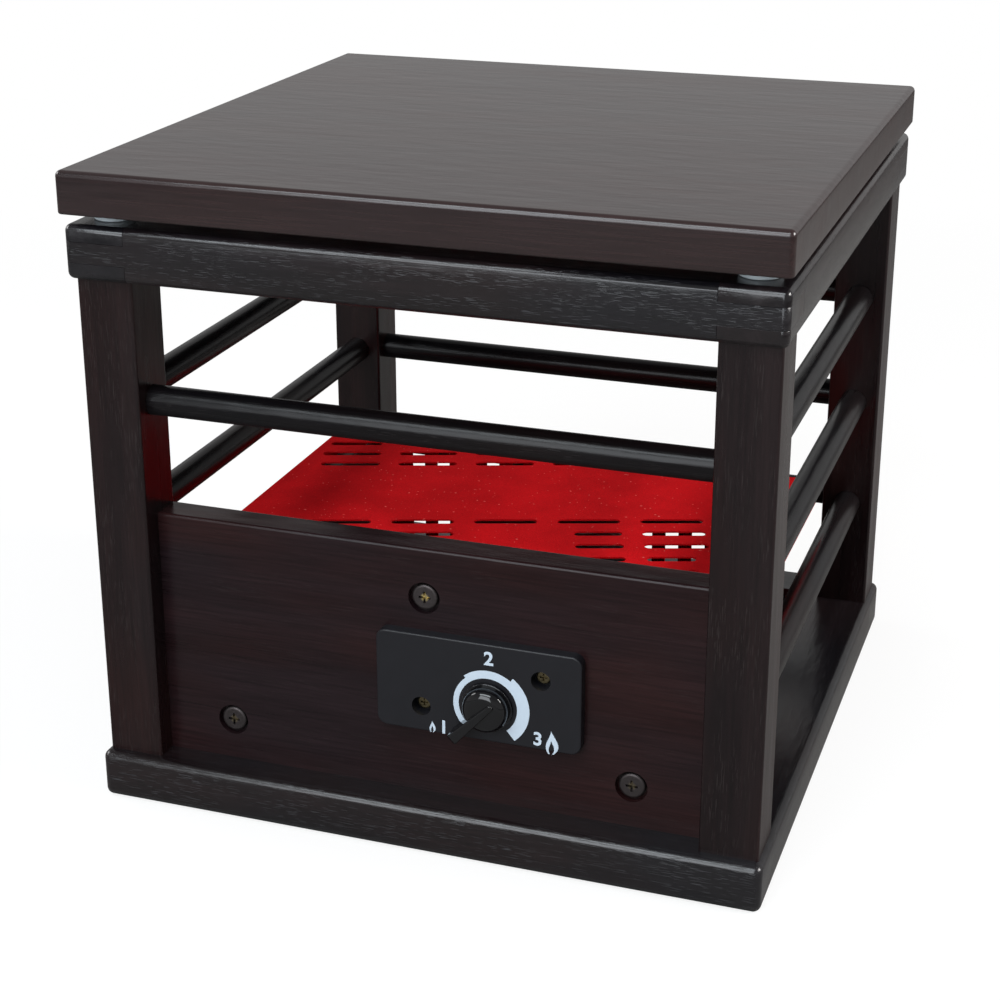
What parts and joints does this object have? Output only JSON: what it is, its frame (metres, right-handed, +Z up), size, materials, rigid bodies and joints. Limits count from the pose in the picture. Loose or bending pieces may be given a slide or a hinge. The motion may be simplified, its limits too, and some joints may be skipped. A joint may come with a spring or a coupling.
{
  "type": "kotatsu table",
  "caption": "Small square kotatsu table: a liftable wooden board on a rung-sided stand with a low heater under a red flocked guard and a turning heat control.",
  "frame": {"origin": "on the floor under the middle of the table", "axes": "+X to the right seen from the control panel, +Y from the control panel to the back, +Z up"},
  "size_m": [0.3, 0.3, 0.285],
  "materials": {
    "board_wood": "satin lacquer",
    "frame_wood": "satin lacquer, open pores",
    "dowel_wood": "raw",
    "pad_rubber": "smooth, translucent",
    "screw_bronze": "dull bronze",
    "brass_screw": "worn",
    "plated_steel": "zinc plated",
    "black_plastic": "fine grain",
    "knob_plastic": "gloss",
    "unit_plastic": "moulded",
    "red_flock": "flocked",
    "tray_paint": "matt",
    "sheet_steel": "plain",
    "reflector_aluminium": "bright",
    "socket_ceramic": "unglazed",
    "tube_glass": "clear",
    "coil_wire": "wound wire",
    "lead_sleeve": "silicone sleeve",
    "bush_rubber": "matt"
  },
  "bodies": {
    "stand": {"base_dowels": "dowel_wood", "base_floor": "board_wood", "base_rail_front": "frame_wood", "base_rail_left": "frame_wood", "base_rail_rear": "frame_wood", "base_rail_right": "frame_wood", "base_screws": "plated_steel", "control_nut": "plated_steel", "control_plate": "black_plastic", "control_unit": "unit_plastic", "cord_bush": "bush_rubber", "frame_rail_front": "frame_wood", "frame_rail_left": "frame_wood", "frame_rail_rear": "frame_wood", "frame_rail_right": "frame_wood", "frame_screws": "plated_steel", "front_panel": "frame_wood", "guard_screws": "plated_steel", "heat_shield": "sheet_steel", "heater_coil": "coil_wire", "heater_guard": "red_flock", "heater_leads": "lead_sleeve", "heater_sockets": "socket_ceramic", "heater_tray": "tray_paint", "heater_tube": "tube_glass", "panel_dowels": "dowel_wood", "panel_nuts": "plated_steel", "panel_screws": "screw_bronze", "plate_screws": "brass_screw", "post_front_left": "frame_wood", "post_front_right": "frame_wood", "post_rear_left": "frame_wood", "post_rear_right": "frame_wood", "reflector": "reflector_aluminium", "reflector_brackets": "sheet_steel", "rung_front": "frame_wood", "rung_left_1": "frame_wood", "rung_left_2": "frame_wood", "rung_left_3": "frame_wood", "rung_rear_1": "frame_wood", "rung_rear_2": "frame_wood", "rung_rear_3": "frame_wood", "rung_right_1": "frame_wood", "rung_right_2": "frame_wood", "rung_right_3": "frame_wood", "shield_spacers": "plated_steel", "terminal_block": "socket_ceramic", "terminal_case": "sheet_steel", "thermal_fuse": "plated_steel", "top_pads": "pad_rubber", "tray_screws": "plated_steel"},
    "board": {"table_top": "board_wood"},
    "knob": {"control_knob": "knob_plastic", "control_shaft": "plated_steel"}
  },
  "joints": [
    {"name": "board_lift", "type": "slide", "parent": "stand", "child": "board", "axis": [0, 0, 1], "range_m": [0, 0.06]},
    {"name": "knob_turn", "type": "hinge", "parent": "stand", "child": "knob", "pos_m": [0.0296, -0.14, 0.0698], "axis": [0, 1, 0], "range_deg": [0, 270]}
  ]
}
